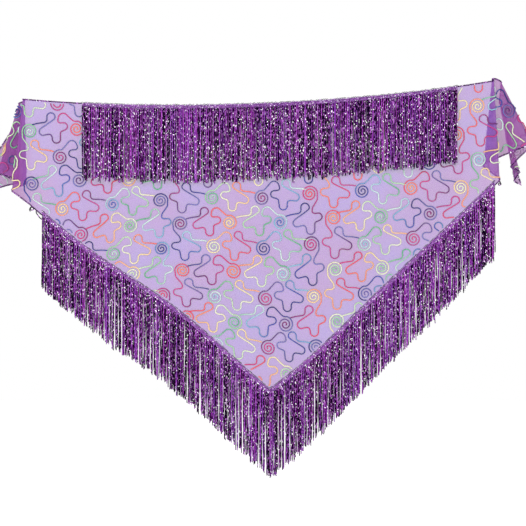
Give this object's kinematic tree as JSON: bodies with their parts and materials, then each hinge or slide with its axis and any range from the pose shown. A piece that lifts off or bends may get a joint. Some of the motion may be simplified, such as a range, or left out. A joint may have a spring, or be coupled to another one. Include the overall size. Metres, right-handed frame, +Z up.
{
  "type": "belly dance hip scarf",
  "caption": "Triangular sheer net hip scarf with cord embroidery and metallic fringe along its long edge and both lower edges, hung by its two pinched corners.",
  "frame": {"origin": "the point of the long edge that the left hand pinches, left being the viewer's left", "axes": "+X along the long edge towards the right hand, +Y to the back of the cloth, +Z up"},
  "size_m": [1.5055, 0.1672, 1.032],
  "materials": {
    "net": "sheer lilac net",
    "fringe": "deep purple metallic chainette with silver glints"
  },
  "bodies": {
    "root": {"net_panel": "net", "fringe_long_edge": "fringe", "fringe_left_edge": "fringe", "fringe_right_edge": "fringe"}
  },
  "joints": []
}
